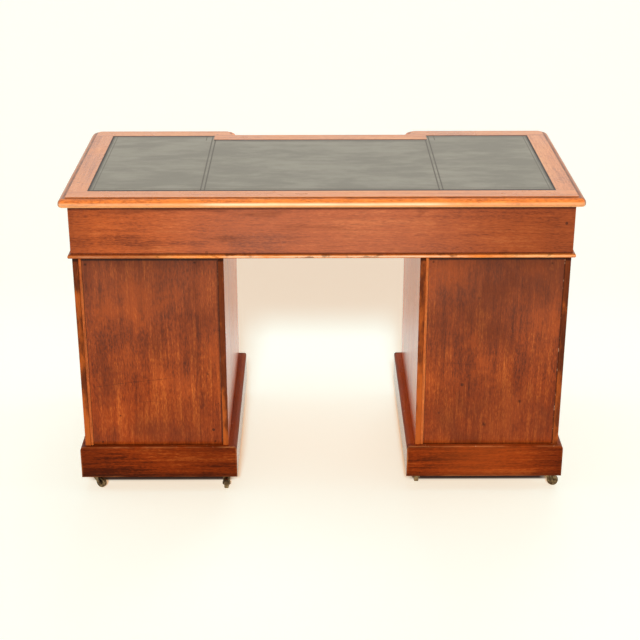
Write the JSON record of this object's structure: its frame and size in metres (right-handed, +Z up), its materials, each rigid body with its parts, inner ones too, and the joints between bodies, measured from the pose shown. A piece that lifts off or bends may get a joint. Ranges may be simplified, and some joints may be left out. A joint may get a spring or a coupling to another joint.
{
  "type": "kneehole desk",
  "caption": "Free-standing pedestal desk with a moulded leather-lined breakfront top, open kneehole, sliding drawers in frieze and pedestals, and swivelling castors under the plinths.",
  "frame": {"origin": "on the floor, under the centre of the whole desk", "axes": "+X along the width, to the right seen from the plain back; +Y towards the sitter's side, where the drawers open; +Z up"},
  "size_m": [1.226, 0.6094, 0.783],
  "materials": {
    "top_mahogany": "French-polished mahogany",
    "carcass_mahogany": "polished mahogany",
    "panel_mahogany": "polished mahogany",
    "plinth_mahogany": "worn polished mahogany",
    "carcass_inside": "unpolished secondary wood",
    "drawer_lining": "unpolished oak",
    "leather": "dark green skiver",
    "brass": "tarnished brass"
  },
  "bodies": {
    "left_pedestal": {"left_outer_side": "carcass_mahogany", "left_inner_side": "carcass_mahogany", "left_back_panel": "panel_mahogany", "left_panel_bead": "carcass_mahogany", "left_shelves": "carcass_inside", "left_pegs": "carcass_inside", "left_plinth": "plinth_mahogany", "left_castor_plates": "brass"},
    "right_pedestal": {"right_outer_side": "carcass_mahogany", "right_inner_side": "carcass_mahogany", "right_back_panel": "panel_mahogany", "right_panel_bead": "carcass_mahogany", "right_shelves": "carcass_inside", "right_pegs": "carcass_inside", "right_plinth": "plinth_mahogany", "right_castor_plates": "brass"},
    "desk_top": {"writing_top": "top_mahogany", "leather_left": "leather", "leather_center": "leather", "leather_right": "leather", "frieze_back": "carcass_mahogany", "frieze_end_left": "carcass_mahogany", "frieze_end_right": "carcass_mahogany", "frieze_partitions": "carcass_inside", "frieze_dust_boards": "carcass_inside", "bead_moulding": "carcass_mahogany"},
    "drawer_center": {"drawer_center_front": "carcass_mahogany", "drawer_center_box": "drawer_lining"},
    "drawer_left_frieze": {"drawer_left_frieze_front": "carcass_mahogany", "drawer_left_frieze_box": "drawer_lining"},
    "drawer_left_upper": {"drawer_left_upper_front": "carcass_mahogany", "drawer_left_upper_box": "drawer_lining"},
    "drawer_left_middle": {"drawer_left_middle_front": "carcass_mahogany", "drawer_left_middle_box": "drawer_lining"},
    "drawer_left_lower": {"drawer_left_lower_front": "carcass_mahogany", "drawer_left_lower_box": "drawer_lining"},
    "drawer_right_frieze": {"drawer_right_frieze_front": "carcass_mahogany", "drawer_right_frieze_box": "drawer_lining"},
    "drawer_right_upper": {"drawer_right_upper_front": "carcass_mahogany", "drawer_right_upper_box": "drawer_lining"},
    "drawer_right_middle": {"drawer_right_middle_front": "carcass_mahogany", "drawer_right_middle_box": "drawer_lining"},
    "drawer_right_lower": {"drawer_right_lower_front": "carcass_mahogany", "drawer_right_lower_box": "drawer_lining"},
    "castor_left_back_outer_swivel": {"castor_left_back_outer_fork": "brass"},
    "castor_left_back_outer_roller": {"castor_left_back_outer_wheel": "brass"},
    "castor_left_back_inner_swivel": {"castor_left_back_inner_fork": "brass"},
    "castor_left_back_inner_roller": {"castor_left_back_inner_wheel": "brass"},
    "castor_right_back_inner_swivel": {"castor_right_back_inner_fork": "brass"},
    "castor_right_back_inner_roller": {"castor_right_back_inner_wheel": "brass"},
    "castor_right_back_outer_swivel": {"castor_right_back_outer_fork": "brass"},
    "castor_right_back_outer_roller": {"castor_right_back_outer_wheel": "brass"},
    "castor_left_front_outer_swivel": {"castor_left_front_outer_fork": "brass"},
    "castor_left_front_outer_roller": {"castor_left_front_outer_wheel": "brass"},
    "castor_left_front_inner_swivel": {"castor_left_front_inner_fork": "brass"},
    "castor_left_front_inner_roller": {"castor_left_front_inner_wheel": "brass"},
    "castor_right_front_inner_swivel": {"castor_right_front_inner_fork": "brass"},
    "castor_right_front_inner_roller": {"castor_right_front_inner_wheel": "brass"},
    "castor_right_front_outer_swivel": {"castor_right_front_outer_fork": "brass"},
    "castor_right_front_outer_roller": {"castor_right_front_outer_wheel": "brass"}
  },
  "joints": [
    {"name": "top_lift", "type": "slide", "parent": "left_pedestal", "child": "desk_top", "axis": [0, 0, 1], "range_m": [0, 0.15]},
    {"name": "right_pedestal_stays", "type": "slide", "parent": "desk_top", "child": "right_pedestal", "axis": [0, 0, -1], "range_m": [0, 0.15]},
    {"name": "drawer_center_slide", "type": "slide", "parent": "desk_top", "child": "drawer_center", "axis": [0, 1, 0], "range_m": [0, 0.33]},
    {"name": "drawer_left_frieze_slide", "type": "slide", "parent": "desk_top", "child": "drawer_left_frieze", "axis": [0, 1, 0], "range_m": [0, 0.36]},
    {"name": "drawer_left_upper_slide", "type": "slide", "parent": "left_pedestal", "child": "drawer_left_upper", "axis": [0, 1, 0], "range_m": [0, 0.36]},
    {"name": "drawer_left_middle_slide", "type": "slide", "parent": "left_pedestal", "child": "drawer_left_middle", "axis": [0, 1, 0], "range_m": [0, 0.36]},
    {"name": "drawer_left_lower_slide", "type": "slide", "parent": "left_pedestal", "child": "drawer_left_lower", "axis": [0, 1, 0], "range_m": [0, 0.36]},
    {"name": "drawer_right_frieze_slide", "type": "slide", "parent": "desk_top", "child": "drawer_right_frieze", "axis": [0, 1, 0], "range_m": [0, 0.36]},
    {"name": "drawer_right_upper_slide", "type": "slide", "parent": "right_pedestal", "child": "drawer_right_upper", "axis": [0, 1, 0], "range_m": [0, 0.36]},
    {"name": "drawer_right_middle_slide", "type": "slide", "parent": "right_pedestal", "child": "drawer_right_middle", "axis": [0, 1, 0], "range_m": [0, 0.36]},
    {"name": "drawer_right_lower_slide", "type": "slide", "parent": "right_pedestal", "child": "drawer_right_lower", "axis": [0, 1, 0], "range_m": [0, 0.36]},
    {"name": "castor_left_back_outer_turn", "type": "hinge", "parent": "left_pedestal", "child": "castor_left_back_outer_swivel", "pos_m": [-0.5745, -0.24875, 0.0417], "axis": [0, 0, 1], "continuous": true},
    {"name": "castor_left_back_outer_roll", "type": "hinge", "parent": "castor_left_back_outer_swivel", "child": "castor_left_back_outer_roller", "pos_m": [-0.56139, -0.25793, 0.014], "axis": [0.5736, 0.8192, 0], "continuous": true},
    {"name": "castor_left_back_inner_turn", "type": "hinge", "parent": "left_pedestal", "child": "castor_left_back_inner_swivel", "pos_m": [-0.2425, -0.24875, 0.0417], "axis": [0, 0, 1], "continuous": true},
    {"name": "castor_left_back_inner_roll", "type": "hinge", "parent": "castor_left_back_inner_swivel", "child": "castor_left_back_inner_roller", "pos_m": [-0.2425, -0.26475, 0.014], "axis": [1, 0, 0], "continuous": true},
    {"name": "castor_right_back_inner_turn", "type": "hinge", "parent": "right_pedestal", "child": "castor_right_back_inner_swivel", "pos_m": [0.2425, -0.24875, 0.0417], "axis": [0, 0, 1], "continuous": true},
    {"name": "castor_right_back_inner_roll", "type": "hinge", "parent": "castor_right_back_inner_swivel", "child": "castor_right_back_inner_roller", "pos_m": [0.2425, -0.23275, 0.014], "axis": [-1, 0, 0], "continuous": true},
    {"name": "castor_right_back_outer_turn", "type": "hinge", "parent": "right_pedestal", "child": "castor_right_back_outer_swivel", "pos_m": [0.5745, -0.24875, 0.0417], "axis": [0, 0, 1], "continuous": true},
    {"name": "castor_right_back_outer_roll", "type": "hinge", "parent": "castor_right_back_outer_swivel", "child": "castor_right_back_outer_roller", "pos_m": [0.58954, -0.25422, 0.014], "axis": [0.342, 0.9397, 0], "continuous": true},
    {"name": "castor_left_front_outer_turn", "type": "hinge", "parent": "left_pedestal", "child": "castor_left_front_outer_swivel", "pos_m": [-0.5745, 0.25025, 0.0417], "axis": [0, 0, 1], "continuous": true},
    {"name": "castor_left_front_outer_roll", "type": "hinge", "parent": "castor_left_front_outer_swivel", "child": "castor_left_front_outer_roller", "pos_m": [-0.58954, 0.24478, 0.014], "axis": [0.342, -0.9397, 0], "continuous": true},
    {"name": "castor_left_front_inner_turn", "type": "hinge", "parent": "left_pedestal", "child": "castor_left_front_inner_swivel", "pos_m": [-0.2425, 0.25025, 0.0417], "axis": [0, 0, 1], "continuous": true},
    {"name": "castor_left_front_inner_roll", "type": "hinge", "parent": "castor_left_front_inner_swivel", "child": "castor_left_front_inner_roller", "pos_m": [-0.24926, 0.26475, 0.014], "axis": [-0.9063, -0.4226, 0], "continuous": true},
    {"name": "castor_right_front_inner_turn", "type": "hinge", "parent": "right_pedestal", "child": "castor_right_front_inner_swivel", "pos_m": [0.2425, 0.25025, 0.0417], "axis": [0, 0, 1], "continuous": true},
    {"name": "castor_right_front_inner_roll", "type": "hinge", "parent": "castor_right_front_inner_swivel", "child": "castor_right_front_inner_roller", "pos_m": [0.24926, 0.26475, 0.014], "axis": [-0.9063, 0.4226, 0], "continuous": true},
    {"name": "castor_right_front_outer_turn", "type": "hinge", "parent": "right_pedestal", "child": "castor_right_front_outer_swivel", "pos_m": [0.5745, 0.25025, 0.0417], "axis": [0, 0, 1], "continuous": true},
    {"name": "castor_right_front_outer_roll", "type": "hinge", "parent": "castor_right_front_outer_swivel", "child": "castor_right_front_outer_roller", "pos_m": [0.589, 0.24349, 0.014], "axis": [0.4226, 0.9063, 0], "continuous": true}
  ],
  "couplings": [
    {"joint": "right_pedestal_stays", "follows": "top_lift", "ratio": 1}
  ]
}
